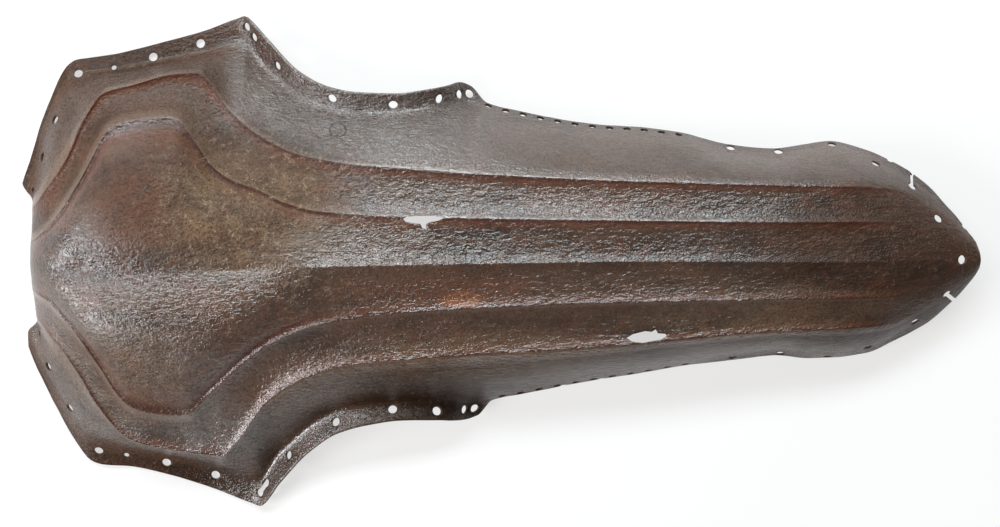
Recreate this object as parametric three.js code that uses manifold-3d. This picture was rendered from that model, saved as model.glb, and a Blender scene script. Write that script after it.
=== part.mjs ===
// Chanfron: one plate of wrought iron that guards a horse's face, lying with its hollow side down.
// Millimetres. +X runs from the poll to the nose, +Y to one cheek, +Z out of the raised side.
// The plate is a net of rails. Five rails run the length of each half, from the middle line outwards:
// crest, inner ridge, outer ridge, root and rim. Stations cross them, and spans of known form fill in.

import * as THREE from 'three';
import { mergeVertices } from 'three/addons/utils/BufferGeometryUtils.js';
import Module from 'manifold-3d';

const wasm = await Module();
wasm.setup();

// Driving sizes of the plate
const LENGTH = 580;
const HALF_WIDTH = 150;
const CROWN_HEIGHT = 74;
const THICKNESS = 1.6;
const STATION_STEP = 16;

// Relief hammered into it
const VALLEY_DEPTH = 7.0;
const GROOVE_DEPTH = 2.2;
const FLUTE_DEPTH = 2.0;
const BAND_DEPTH = 2.4;
const FLANK_BULGE = 6.0;
const FLANGE_WIDTH = 12;
const POLL_SETBACK = 6.6;
const POLL_ROLL = 40;
const TAB_START = { left: 0.76, right: 0.70 };
const TAB_END = { left: 1.0, right: 0.83 };
const SMALL_HOLE = 3.2;
const UPRIGHT_FROM = 0.7;

// Holes and losses
const LACE_HOLE = 5.4;
const STITCH_HOLE = 4.6;
const STITCH_MARGIN = 1.5;
const HOLE_SIDES = 8;
const NICK_WIDTH = 3.6;
const TEAR_WIDTH = 2.4;
const LOSS_LENGTH = 24;
const LOSS_WIDTH = 8;
const CUT_REACH = 14;

// A table with named columns. Its rows run along the plate.
function columns(names, rows) {
  const table = {};
  names.split(' ').forEach((name, column) => {
    table[name] = rows.map((row) => row[column]);
  });
  return table;
}

// Along is a share of LENGTH from the poll, left and right are distances from the straight axis as
// shares of HALF_WIDTH, and up is a share of CROWN_HEIGHT. The two cheeks differ, as forged ones do.
const RIM = columns('along left right up', [
  [0.000, 0.333, 0.340, 0.05], // poll corner
  [0.014, 0.473, 0.484, 0.06],
  [0.031, 0.647, 0.623, 0.06],
  [0.053, 0.807, 0.783, 0.05],
  [0.062, 0.829, 0.824, 0.04], // ear corner
  [0.074, 0.835, 0.840, 0.04],
  [0.103, 0.849, 0.851, 0.03],
  [0.147, 0.887, 0.893, 0.02],
  [0.195, 0.933, 0.955, 0.02],
  [0.231, 0.979, 1.010, 0.04],
  [0.2405, 0.989, 1.020, 0.08], // horn
  [0.2465, 0.970, 1.003, 0.12],
  [0.264, 0.896, 0.913, 0.19],
  [0.297, 0.765, 0.777, 0.32],
  [0.329, 0.700, 0.693, 0.41],
  [0.360, 0.673, 0.657, 0.45],
  [0.397, 0.665, 0.640, 0.44], // eye notch
  [0.434, 0.681, 0.647, 0.38],
  [0.453, 0.695, 0.660, 0.27],
  [0.4655, 0.709, 0.668, 0.14], // cheek lobe
  [0.476, 0.695, 0.660, 0.07],
  [0.492, 0.627, 0.599, 0.05],
  [0.526, 0.589, 0.572, 0.07],
  [0.609, 0.528, 0.517, 0.07],
  [0.655, 0.512, 0.494, 0.07],
  [0.698, 0.487, 0.470, 0.07],
  [0.747, 0.439, 0.449, 0.11],
  [0.793, 0.420, 0.432, 0.12], // waist
  [0.828, 0.434, 0.447, 0.05],
  [0.853, 0.442, 0.450, 0.00], // nose lobe
  [0.890, 0.407, 0.433, 0.03],
  [0.921, 0.349, 0.377, 0.09],
  [0.950, 0.268, 0.310, 0.18],
  [0.978, 0.142, 0.200, 0.30],
  [0.991, 0.069, 0.132, 0.38],
  [0.9965, 0.038, 0.096, 0.42],
  [1.000, 0.004, 0.068, 0.45], // nose tip
]);

// Where the turned-out flange starts: its width in from the rim is a share of FLANGE_WIDTH.
const ROOT = columns('along width up', [
  [0.000, 0.55, 0.07],
  [0.031, 0.67, 0.10],
  [0.062, 0.83, 0.09],
  [0.103, 0.88, 0.07],
  [0.147, 1.00, 0.05],
  [0.195, 1.17, 0.04],
  [0.231, 1.25, 0.03],
  [0.243, 1.35, 0.03],
  [0.259, 1.45, 0.08],
  [0.278, 1.30, 0.16],
  [0.298, 1.22, 0.24],
  [0.321, 1.15, 0.31],
  [0.347, 1.04, 0.36],
  [0.403, 0.88, 0.36],
  [0.434, 0.94, 0.32],
  [0.453, 1.06, 0.24],
  [0.474, 0.95, 0.12],
  [0.492, 0.25, 0.14],
  [0.793, 0.25, 0.20],
  [0.853, 0.23, 0.12],
  [0.921, 0.30, 0.18],
  [0.978, 0.20, 0.34],
  [1.000, 0.02, 0.47],
]);

const OUTER_RIDGE = columns('along left right up', [
  [0.000, 0.230, 0.205, 0.12],
  [0.014, 0.247, 0.220, 0.30],
  [0.040, 0.330, 0.297, 0.47],
  [0.062, 0.447, 0.410, 0.51],
  [0.081, 0.600, 0.545, 0.49],
  [0.098, 0.691, 0.645, 0.46], // ear corner
  [0.107, 0.705, 0.683, 0.455],
  [0.129, 0.724, 0.724, 0.45],
  [0.172, 0.764, 0.760, 0.43],
  [0.197, 0.768, 0.775, 0.43],
  [0.209, 0.730, 0.779, 0.44], // horn corner
  [0.224, 0.643, 0.727, 0.48],
  [0.2345, 0.597, 0.675, 0.52],
  [0.259, 0.520, 0.547, 0.61],
  [0.297, 0.447, 0.451, 0.72],
  [0.336, 0.413, 0.400, 0.78],
  [0.397, 0.383, 0.373, 0.82],
  [0.603, 0.322, 0.337, 0.78],
  [0.779, 0.287, 0.295, 0.70],
  [0.902, 0.260, 0.288, 0.59],
  [0.950, 0.173, 0.210, 0.52],
  [0.978, 0.085, 0.130, 0.48],
  [1.000, -0.008, 0.056, 0.47],
]);

const INNER_RIDGE = columns('along left right up', [
  [0.000, 0.093, 0.073, 0.11],
  [0.010, 0.103, 0.083, 0.37],
  [0.038, 0.160, 0.123, 0.60],
  [0.060, 0.250, 0.213, 0.67],
  [0.078, 0.353, 0.307, 0.70],
  [0.095, 0.469, 0.417, 0.68],
  [0.107, 0.547, 0.497, 0.66], // ear corner
  [0.122, 0.577, 0.553, 0.65],
  [0.143, 0.591, 0.579, 0.64],
  [0.169, 0.596, 0.588, 0.63],
  [0.179, 0.584, 0.583, 0.64], // horn corner
  [0.197, 0.492, 0.523, 0.68],
  [0.214, 0.400, 0.460, 0.73],
  [0.236, 0.343, 0.383, 0.78],
  [0.259, 0.312, 0.317, 0.82],
  [0.288, 0.257, 0.260, 0.86],
  [0.319, 0.224, 0.220, 0.885],
  [0.407, 0.197, 0.180, 0.89],
  [0.603, 0.167, 0.159, 0.845],
  [0.779, 0.144, 0.163, 0.76],
  [0.900, 0.131, 0.169, 0.66],
  [0.950, 0.080, 0.123, 0.57],
  [0.978, 0.040, 0.083, 0.50],
  [1.000, -0.020, 0.043, 0.48],
]);

// The middle line, which wanders a little off the straight axis towards the left.
const CREST = columns('along left up', [
  [0.000, 0.024, 0.11],
  [0.005, 0.023, 0.28],
  [0.010, 0.022, 0.42],
  [0.021, 0.018, 0.57],
  [0.036, 0.013, 0.69],
  [0.057, 0.010, 0.81],
  [0.081, 0.007, 0.89],
  [0.112, 0.005, 0.95],
  [0.153, 0.003, 0.985],
  [0.230, 0.004, 1.00],
  [0.305, 0.010, 0.995],
  [0.403, 0.009, 0.95],
  [0.603, 0.004, 0.865],
  [0.807, -0.016, 0.755],
  [0.910, -0.027, 0.675],
  [0.953, -0.031, 0.61],
  [1.000, -0.031, 0.49],
]);

// Strength of each form, as a share of its depth above. Round is how domed the brow panel is, and
// arch is how far the ridges have melted into the plain arched end of the nose.
const FORM = columns('along round valley groove flute band bulge arch', [
  [0.000, 1.0, 0.0, 0.0, 0.0, 0.1, 0.0, 0.0],
  [0.040, 1.5, 0.2, 0.4, 0.0, 1.2, 0.0, 0.0],
  [0.085, 2.6, 1.0, 1.0, 0.0, 1.8, -0.1, 0.0],
  [0.235, 2.8, 1.0, 1.0, 0.0, 1.8, 0.0, 0.0],
  [0.300, 1.3, 0.2, 0.6, 0.5, 1.4, 0.3, 0.0],
  [0.345, 1.0, 0.0, 0.0, 1.0, 1.0, 0.5, 0.0],
  [0.500, 1.0, 0.0, 0.0, 1.0, 1.0, 1.0, 0.0],
  [0.850, 1.0, 0.0, 0.0, 0.8, 0.7, 0.9, 0.0],
  [0.920, 1.0, 0.0, 0.0, 0.4, 0.3, 0.6, 0.7],
  [0.960, 1.0, 0.0, 0.0, 0.0, 0.0, 0.3, 1.0],
  [1.000, 1.0, 0.0, 0.0, 0.0, 0.0, 0.0, 1.0],
]);
const VALLEY_REACH = 0.72;
const GROOVE_REACH = 0.18;
const ARCH_POWER = 2.3;

// Where the net has lines between two rails, as shares of the span.
const PANEL_LINES = [0, 0.13, 0.45, 0.82, 0.91];
const BAND_LINES = [0, 0.2, 0.5, 0.8];
const FLANK_LINES = [0, 0.3, 0.65];
const FLANGE_LINES = [0, 1];

// Round holes for laces and straps, one row for a hole and its fellow on the other cheek. Each has its
// own place: along is a share of LENGTH, out a share of HALF_WIDTH from the straight axis.
const LACED = columns('leftAlong leftOut rightAlong rightOut', [
  [0.008, 0.305, 0.0095, 0.280],
  [0.026, 0.440, 0.025, 0.414],
  [0.042, 0.590, 0.045, 0.589],
  [0.065, 0.774, 0.071, 0.779],
  [0.102, 0.795, 0.100, 0.801],
  [0.143, 0.835, 0.142, 0.837],
  [0.193, 0.886, 0.194, 0.893],
  [0.2425, 0.948, 0.242, 0.966],
  [0.250, 0.905, 0.249, 0.926],
  [0.275, 0.789, 0.275, 0.800],
  [0.333, 0.654, 0.328, 0.650],
  [0.396, 0.624, 0.388, 0.600],
  [0.444, 0.645, 0.434, 0.614],
  [0.4645, 0.662, 0.4625, 0.626],
  [0.4745, 0.664, 0.4730, 0.628],
  [0.747, 0.427, 0.747, 0.430],
  [0.797, 0.408, 0.798, 0.420],
  [0.855, 0.430, 0.850, 0.440],
  [0.897, 0.352, 0.890, 0.395],
  [0.933, 0.260, 0.936, 0.288],
  [0.956, 0.136, 0.966, 0.172],
]);
const SMALL_ROWS = [0, 4];
const TIP_HOLE = { along: 0.979, out: -0.029 };

// The close row that held a lining along each cheek: where it starts and ends, and its count.
const STITCHED = [
  { side: 1, start: 0.494, end: 0.693, count: 12 },
  { side: -1, start: 0.503, end: 0.698, count: 11 },
];

// Holes of LACED torn open to the rim, which they reach at along, holes torn into one, and notches
// broken out of the rim.
const TORN = [
  { side: 1, row: 19, along: 0.9375 },
  { side: -1, row: 20, along: 0.9773 },
];
const JOINED = [{ side: -1, rows: [7, 8] }];
const NICKS = [
  { side: 1, along: 0.916 },
  { side: 1, along: 0.9865 },
  { side: -1, along: 0.568 },
  { side: -1, along: 0.609 },
];

// Holes eaten through by rust: the middle of each, and its ragged outline as shares of its size.
const LOSSES = [
  {
    side: 1,
    along: 0.427,
    out: 0.172,
    outline: [
      [-0.50, 0.30], [-0.40, 0.46], [-0.10, 0.50], [0.28, 0.47], [0.50, 0.32], [0.36, 0.12],
      [0.14, 0.02], [0.05, -0.14], [0.07, -0.50], [-0.04, -0.42], [-0.08, -0.10], [-0.30, -0.02],
      [-0.44, 0.08],
    ],
  },
  {
    side: -1,
    along: 0.651,
    out: 0.298,
    outline: [
      [-0.50, -0.10], [-0.34, 0.17], [-0.04, 0.38], [0.13, 0.32], [0.22, 0.50], [0.28, 0.20],
      [0.46, 0.15], [0.50, -0.02], [0.37, -0.28], [0.10, -0.40], [-0.10, -0.50], [-0.36, -0.38],
    ],
  },
];

// Value of a column at a place: a smooth curve through the rows that doesn't overshoot them.
function at(table, name, place) {
  const x = table.along;
  const y = table[name];
  let row = 0;
  while (row < x.length - 2 && place > x[row + 1]) row += 1;
  const rise = (k) => (y[k + 1] - y[k]) / (x[k + 1] - x[k]);
  const slope = (k) => {
    if (k === 0) return rise(0);
    if (k === x.length - 1) return rise(k - 1);
    const before = rise(k - 1);
    const after = rise(k);
    return before * after > 0 ? (2 * before * after) / (before + after) : 0;
  };
  const width = x[row + 1] - x[row];
  const t = (place - x[row]) / width;
  const late = t * t * (3 - 2 * t);
  const bend = t * (1 - t) * width * (slope(row) * (1 - t) - slope(row + 1) * t);
  return y[row] * (1 - late) + y[row + 1] * late + bend;
}

const clamp = (value) => Math.min(1, Math.max(0, value));
// A step from nought to one, flat at both its ends.
function ease(t) {
  const held = clamp(t);
  return held * held * (3 - 2 * held);
}

const dish = (t) => 1 - Math.abs(2 * t - 1) ** 3;
const cheekName = (side) => (side > 0 ? 'left' : 'right');

// The five rails of one cheek at one place, from the middle line outwards. Side is +1 left, -1 right.
function railsAt(place, side) {
  const rail = (table) => ({
    out: at(table, cheekName(side), place) * HALF_WIDTH,
    up: at(table, 'up', place) * CROWN_HEIGHT,
  });
  const crest = {
    out: side * at(CREST, 'left', place) * HALF_WIDTH,
    up: at(CREST, 'up', place) * CROWN_HEIGHT,
  };
  const rim = rail(RIM);
  const root = {
    out: rim.out - at(ROOT, 'width', place) * FLANGE_WIDTH,
    up: at(ROOT, 'up', place) * CROWN_HEIGHT,
  };
  return [crest, rail(INNER_RIDGE), rail(OUTER_RIDGE), root, rim];
}

// Height of the face at a share t of one span between two rails.
function spanHeight(place, span, t, inner, outer) {
  const form = (name) => at(FORM, name, place);
  const level = inner.up + (outer.up - inner.up) * t;
  if (span === 0) {
    const domed = inner.up + (outer.up - inner.up) * t ** form('round');
    const valley = VALLEY_DEPTH * form('valley') * (1 - clamp(t / VALLEY_REACH)) ** 2;
    const groove = GROOVE_DEPTH * form('groove') * dish(clamp((t - 1) / GROOVE_REACH + 1));
    return domed - valley - groove - FLUTE_DEPTH * form('flute') * dish(t);
  }
  if (span === 1) return level - BAND_DEPTH * form('band') * dish(t);
  if (span === 2) return level + FLANK_BULGE * form('bulge') * 4 * t * (1 - t);
  return level;
}

// Point of the face, from its station, its distance out from the straight axis and its side.
function facePoint(place, out, side) {
  const rails = railsAt(place, side);
  const [crest, , , , rim] = rails;
  let span = 0;
  while (span < 3 && out > rails[span + 1].out) span += 1;
  const inner = rails[span];
  const outer = rails[span + 1];
  const t = (out - inner.out) / (outer.out - inner.out);
  const share = clamp((out - crest.out) / (rim.out - crest.out));
  const arch = at(FORM, 'arch', place);
  const arched = crest.up - (crest.up - rim.up) * share ** ARCH_POWER;
  const setback = POLL_SETBACK * clamp(1 - (place * LENGTH) / POLL_ROLL) ** 3.5;
  const cheek = cheekName(side);
  const tab = ease((share - TAB_START[cheek]) / (TAB_END[cheek] - TAB_START[cheek]));
  return new THREE.Vector3(
    place * LENGTH + setback * (1 - tab),
    side * out,
    spanHeight(place, span, t, inner, outer) * (1 - arch) + arched * arch,
  );
}

// Point and outward direction of the face over a spot of the plan. The station is found by stepping
// back by as much as the poll's setback moves a point forward.
function faceOver(along, out, side) {
  let place = along;
  for (let step = 0; step < 8; step += 1) {
    place = clamp(place + along - facePoint(place, out, side).x / LENGTH);
  }
  const probe = 0.5;
  const forward = facePoint(place + probe / LENGTH, out, side)
    .sub(facePoint(place - probe / LENGTH, out, side));
  const sideways = facePoint(place, out + probe, side)
    .sub(facePoint(place, out - probe, side));
  const normal = forward.cross(sideways).multiplyScalar(side).normalize();
  return { point: facePoint(place, out, side), normal };
}

// Stations: every row of the rim, and even steps between rows that lie far apart.
function stationPlaces() {
  const places = [0];
  for (let row = 1; row < RIM.along.length; row += 1) {
    const start = RIM.along[row - 1];
    const gap = RIM.along[row] - start;
    const steps = Math.ceil((gap * LENGTH) / STATION_STEP);
    for (let step = 1; step <= steps; step += 1) places.push(start + (gap * step) / steps);
  }
  return places;
}

// Distances out of the net's lines on one cheek at one station.
function lineDistances(place, side) {
  const rails = railsAt(place, side);
  return [PANEL_LINES, BAND_LINES, FLANK_LINES, FLANGE_LINES].flatMap((lines, span) =>
    lines.map((t) => rails[span].out + (rails[span + 1].out - rails[span].out) * t));
}

// The outer face as rows of points, from the right rim across the middle line to the left rim.
function faceNet() {
  return stationPlaces().map((place) => {
    const right = lineDistances(place, -1).slice(1).reverse();
    const left = lineDistances(place, 1);
    return right.map((out) => facePoint(place, out, -1))
      .concat(left.map((out) => facePoint(place, out, 1)));
  });
}

// Direction out of the face at each point of the net, from its neighbours.
function netNormals(net) {
  const rows = net.length - 1;
  const lines = net[0].length - 1;
  return net.map((row, i) => row.map((_, j) => {
    const lengthwise = net[Math.min(i + 1, rows)][j].clone().sub(net[Math.max(i - 1, 0)][j]);
    const crosswise = net[i][Math.min(j + 1, lines)].clone().sub(net[i][Math.max(j - 1, 0)]);
    return lengthwise.cross(crosswise).normalize();
  }));
}

function toSolid(geometry) {
  geometry.deleteAttribute('normal');
  geometry.deleteAttribute('uv');
  const merged = mergeVertices(geometry, 1e-5);
  return new wasm.Manifold(new wasm.Mesh({
    numProp: 3,
    vertProperties: new Float32Array(merged.attributes.position.array),
    triVerts: new Uint32Array(merged.index.array),
  }));
}

function toGeometry(solid) {
  const mesh = solid.getMesh();
  const geometry = new THREE.BufferGeometry();
  geometry.setAttribute('position', new THREE.BufferAttribute(mesh.vertProperties, 3));
  geometry.setIndex(new THREE.BufferAttribute(mesh.triVerts, 1));
  return geometry;
}

// The plate before it is cut: outer face, inner face one thickness below, and the edge between them.
function wholePlate() {
  const outer = faceNet();
  const normals = netNormals(outer);
  const inner = outer.map((row, i) => row.map((point, j) =>
    point.clone().addScaledVector(normals[i][j], -THICKNESS)));
  const rows = outer.length;
  const lines = outer[0].length;
  const index = [];
  const top = (i, j) => i * lines + j;
  const under = (i, j) => rows * lines + i * lines + j;
  const quad = (a, b, c, d) => index.push(a, b, c, a, c, d);
  for (let i = 0; i < rows - 1; i += 1) {
    for (let j = 0; j < lines - 1; j += 1) {
      quad(top(i, j), top(i + 1, j), top(i + 1, j + 1), top(i, j + 1));
      quad(under(i, j), under(i, j + 1), under(i + 1, j + 1), under(i + 1, j));
    }
    quad(top(i, 0), under(i, 0), under(i + 1, 0), top(i + 1, 0));
    quad(top(i, lines - 1), top(i + 1, lines - 1), under(i + 1, lines - 1), under(i, lines - 1));
  }
  for (let j = 0; j < lines - 1; j += 1) {
    quad(top(0, j), top(0, j + 1), under(0, j + 1), under(0, j));
    quad(top(rows - 1, j), under(rows - 1, j), under(rows - 1, j + 1), top(rows - 1, j + 1));
  }
  const geometry = new THREE.BufferGeometry();
  const points = outer.flat().concat(inner.flat()).flatMap((point) => point.toArray());
  geometry.setAttribute('position', new THREE.Float32BufferAttribute(points, 3));
  geometry.setIndex(index);
  return toSolid(geometry);
}

// Turns a cutter that runs along +Y so that it runs square through the face, and moves it there.
function seatCutter(geometry, { point, normal }) {
  const turn = new THREE.Quaternion().setFromUnitVectors(new THREE.Vector3(0, 1, 0), normal);
  geometry.applyQuaternion(turn);
  geometry.translate(point.x, point.y, point.z);
  return toSolid(geometry);
}

const punch = (diameter, seat) =>
  seatCutter(new THREE.CylinderGeometry(diameter / 2, diameter / 2, CUT_REACH, HOLE_SIDES), seat);

// Distance out to the rim at a place.
const rimOut = (along, side) => at(RIM, cheekName(side), along) * HALF_WIDTH;

// A straight-sided slit through the plate between two spots of the plan.
function slit(from, to) {
  const length = Math.hypot(to.x - from.x, to.y - from.y);
  const geometry = new THREE.BoxGeometry(length, TEAR_WIDTH, 2 * CUT_REACH);
  geometry.rotateZ(Math.atan2(to.y - from.y, to.x - from.x));
  geometry.translate((from.x + to.x) / 2, (from.y + to.y) / 2, (from.z + to.z) / 2);
  return toSolid(geometry);
}

// The lace hole of one row of the table on one cheek: square to the face, and towards the nose
// leaning half-way up from that.
function lacedSeat(row, side) {
  const cheek = cheekName(side);
  const seat = faceOver(LACED[`${cheek}Along`][row], LACED[`${cheek}Out`][row] * HALF_WIDTH, side);
  if (LACED.leftAlong[row] > UPRIGHT_FROM) {
    seat.normal.add(new THREE.Vector3(0, 0, 1)).normalize();
  }
  return seat;
}

function laceHoles() {
  const holes = [1, -1].flatMap((side) => LACED.leftAlong.map((_, row) =>
    punch(SMALL_ROWS.includes(row) ? SMALL_HOLE : LACE_HOLE, lacedSeat(row, side))));
  holes.push(punch(LACE_HOLE, faceOver(TIP_HOLE.along, TIP_HOLE.out * HALF_WIDTH, 1)));
  return holes;
}

function stitchHoles() {
  return STITCHED.flatMap(({ side, start, end, count }) =>
    Array.from({ length: count }, (_, k) => {
      const along = start + ((end - start) * k) / (count - 1);
      return punch(STITCH_HOLE, faceOver(along, rimOut(along, side) - STITCH_MARGIN, side));
    }));
}

// Slits from torn holes out past the rim, and between holes torn into one.
function tears() {
  const open = TORN.map(({ side, row, along }) => {
    const { point } = lacedSeat(row, side);
    const mouth = new THREE.Vector3(along * LENGTH, side * rimOut(along, side), point.z);
    const reach = mouth.sub(point);
    reach.setLength(reach.length() + TEAR_WIDTH);
    return slit(point, point.clone().add(reach));
  });
  const between = JOINED.map(({ side, rows }) =>
    slit(...rows.map((row) => lacedSeat(row, side).point)));
  return open.concat(between);
}

function nicks() {
  return NICKS.map(({ side, along }) =>
    punch(NICK_WIDTH, faceOver(along, rimOut(along, side), side)));
}

// Ragged losses, cut straight down through the plate.
function losses() {
  return LOSSES.map(({ side, along, out, outline }) => {
    const shape = new THREE.Shape(outline.map(([x, y]) =>
      new THREE.Vector2(x * LOSS_LENGTH, y * LOSS_WIDTH)));
    const geometry = new THREE.ExtrudeGeometry(shape, { depth: CUT_REACH, bevelEnabled: false });
    const { point } = faceOver(along, out * HALF_WIDTH, side);
    geometry.translate(point.x, point.y, point.z - CUT_REACH / 2);
    return toSolid(geometry);
  });
}

// The plate with every hole and loss, moved so that it stands on its lowest points over the origin.
function chanfronPlate() {
  const cutters = [laceHoles(), stitchHoles(), tears(), nicks(), losses()].flat();
  const solid = cutters.reduce((plate, cutter) => plate.subtract(cutter), wholePlate());
  const geometry = toGeometry(solid);
  geometry.computeBoundingBox();
  const { min, max } = geometry.boundingBox;
  geometry.translate(-(min.x + max.x) / 2, -(min.y + max.y) / 2, -min.z);
  return geometry;
}

const iron = new THREE.MeshStandardMaterial({ color: 0x4d3a33, roughness: 0.55, metalness: 0.7 });
const plate = new THREE.Mesh(chanfronPlate(), iron);
plate.name = 'plate';

const group = new THREE.Group();
group.add(plate);

export default group;
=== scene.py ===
"""An iron chanfron, the guard of a horse's face, lying hollow side down on a pale table.

Metres. +X runs from the poll to the nose, +Y to the left cheek, +Z out of the raised side. The plate
is a surface over two parameters: the station along it, and the line across it. Five rails a side
(crest, inner ridge, outer ridge, root, rim) carry the lines, and each span between two has its form.
"""
import math
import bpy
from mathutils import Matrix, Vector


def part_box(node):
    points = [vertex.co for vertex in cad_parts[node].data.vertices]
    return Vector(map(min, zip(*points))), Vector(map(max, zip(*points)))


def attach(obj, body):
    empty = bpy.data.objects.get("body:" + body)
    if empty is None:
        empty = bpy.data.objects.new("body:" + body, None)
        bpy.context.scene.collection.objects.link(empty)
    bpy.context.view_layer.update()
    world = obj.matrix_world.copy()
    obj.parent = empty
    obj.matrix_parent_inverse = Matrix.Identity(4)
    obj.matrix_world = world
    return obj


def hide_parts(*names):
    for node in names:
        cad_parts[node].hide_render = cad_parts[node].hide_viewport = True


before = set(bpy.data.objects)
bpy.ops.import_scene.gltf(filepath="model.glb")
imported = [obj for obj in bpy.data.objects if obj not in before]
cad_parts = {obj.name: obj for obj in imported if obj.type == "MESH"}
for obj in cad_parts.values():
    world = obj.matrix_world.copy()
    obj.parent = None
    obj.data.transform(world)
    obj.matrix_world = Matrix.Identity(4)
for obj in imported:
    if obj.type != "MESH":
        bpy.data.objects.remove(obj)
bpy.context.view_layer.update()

from types import SimpleNamespace

import bpy
import numpy as np
from mathutils import Matrix, Vector

PLATE_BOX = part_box("plate")

# Driving sizes, as the solid has them
LENGTH = 0.580
HALF_WIDTH = 0.150
CROWN_HEIGHT = 0.074
THICKNESS = 0.0016
VALLEY_DEPTH = 0.0070
GROOVE_DEPTH = 0.0028
FLUTE_DEPTH = 0.0020
BAND_DEPTH = 0.0024
FLANK_BULGE = 0.0060
FLANGE_WIDTH = 0.012
VALLEY_REACH = 0.72
GROOVE_REACH = 0.15
ARCH_POWER = 2.3

# The poll edge is set back by this much between its two tabs, less and less along its roll. A tab
# starts and ends at a share of the way out to the rim, by side: 1 is left and -1 right.
POLL_SETBACK = 0.0066
POLL_ROLL = 0.040
SETBACK_POWER = 3.5
TAB_START = {1: 0.76, -1: 0.70}
TAB_END = {1: 1.0, -1: 0.83}

# Holes and losses. Past this share of the length a hole leans up from square to the face.
LACE_HOLE = 0.0054
SMALL_HOLE = 0.0032
UPRIGHT_FROM = 0.7
STITCH_HOLE = 0.0046
STITCH_MARGIN = 0.0015
NICK_WIDTH = 0.0036
TEAR_WIDTH = 0.0024
LOSS_LENGTH = 0.024
LOSS_WIDTH = 0.008
CUT_REACH = 0.014

# Fineness of the mesh, and how far its lines gather at the rails
STATIONS = 330
SPAN_LINES = (34, 22, 22, 8)
GATHERING = 0.55
HOLE_SIDES = 24

# Rounding of the face, with further passes near the root of the flange and past a share of the length
ROUNDING_PASSES = 2
ROOT_PASSES = 14
ROOT_RAIL = 3
ROOT_REACH = 0.35
NOSE_START = 0.93
EDGE_BULGE = 0.0004

# Unevenness that hammer and rust left: height, cell along and across, and seed
UNEVENNESS = (
    (0.00045, (0.045, 0.020), 3),
    (0.00022, (0.016, 0.007), 5),
    (0.00008, (0.005, 0.003), 8),
)
LATTICE = 96
LATTICE_START = 32

# Small step for slopes of the face, and the rails that the UV map spans from edge to edge
PROBE = 0.0005
MAP_RAILS = 8.0

# Camera: how far it stands, how much it leans and turns, and what it looks at
CAMERA_REACH = 1.185
CAMERA_LEAN = math.radians(5.56)
CAMERA_PITCH = math.radians(-0.09)
CAMERA_ROLL = math.radians(1.05)
CAMERA_LENS = 70.9
CAMERA_TARGET = Vector((0.0018, -0.0001, 0.0305))


def columns(names, rows):
    """A table with named columns, as arrays. Its rows run along the plate."""
    return dict(zip(names.split(), np.array(rows, float).T))


# Along is a share of LENGTH from the poll, left and right are distances from the straight axis as
# shares of HALF_WIDTH, and up is a share of CROWN_HEIGHT.
RIM = columns("along left right up", [
    (0.000, 0.333, 0.340, 0.05),
    (0.014, 0.473, 0.484, 0.06),
    (0.031, 0.647, 0.623, 0.06),
    (0.053, 0.807, 0.783, 0.05),
    (0.062, 0.829, 0.824, 0.04),
    (0.074, 0.835, 0.840, 0.04),
    (0.103, 0.849, 0.851, 0.03),
    (0.147, 0.887, 0.893, 0.02),
    (0.195, 0.933, 0.955, 0.02),
    (0.231, 0.979, 1.010, 0.04),
    (0.2405, 0.989, 1.020, 0.08),
    (0.2465, 0.970, 1.003, 0.12),
    (0.264, 0.896, 0.913, 0.19),
    (0.297, 0.765, 0.777, 0.32),
    (0.329, 0.700, 0.693, 0.41),
    (0.360, 0.673, 0.657, 0.45),
    (0.397, 0.665, 0.640, 0.44),
    (0.434, 0.681, 0.647, 0.38),
    (0.453, 0.695, 0.660, 0.27),
    (0.4655, 0.709, 0.668, 0.14),
    (0.476, 0.695, 0.660, 0.07),
    (0.492, 0.627, 0.599, 0.05),
    (0.526, 0.589, 0.572, 0.07),
    (0.609, 0.528, 0.517, 0.07),
    (0.655, 0.512, 0.494, 0.07),
    (0.698, 0.487, 0.470, 0.07),
    (0.747, 0.439, 0.449, 0.11),
    (0.793, 0.420, 0.432, 0.12),
    (0.828, 0.434, 0.447, 0.05),
    (0.853, 0.442, 0.450, 0.00),
    (0.890, 0.407, 0.433, 0.03),
    (0.921, 0.349, 0.377, 0.09),
    (0.950, 0.268, 0.310, 0.18),
    (0.978, 0.142, 0.200, 0.30),
    (0.991, 0.069, 0.132, 0.38),
    (0.9965, 0.038, 0.096, 0.42),
    (1.000, 0.004, 0.068, 0.45),
])
ROOT = columns("along width up", [
    (0.000, 0.55, 0.07),
    (0.031, 0.67, 0.10),
    (0.062, 0.83, 0.09),
    (0.103, 0.88, 0.07),
    (0.147, 1.00, 0.05),
    (0.195, 1.17, 0.04),
    (0.231, 1.25, 0.03),
    (0.243, 1.35, 0.03),
    (0.259, 1.45, 0.08),
    (0.278, 1.30, 0.16),
    (0.298, 1.22, 0.24),
    (0.321, 1.15, 0.31),
    (0.347, 1.04, 0.36),
    (0.403, 0.88, 0.36),
    (0.434, 0.94, 0.32),
    (0.453, 1.06, 0.24),
    (0.474, 0.95, 0.12),
    (0.492, 0.25, 0.14),
    (0.793, 0.25, 0.20),
    (0.853, 0.23, 0.12),
    (0.921, 0.30, 0.18),
    (0.978, 0.20, 0.34),
    (1.000, 0.02, 0.47),
])
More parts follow.
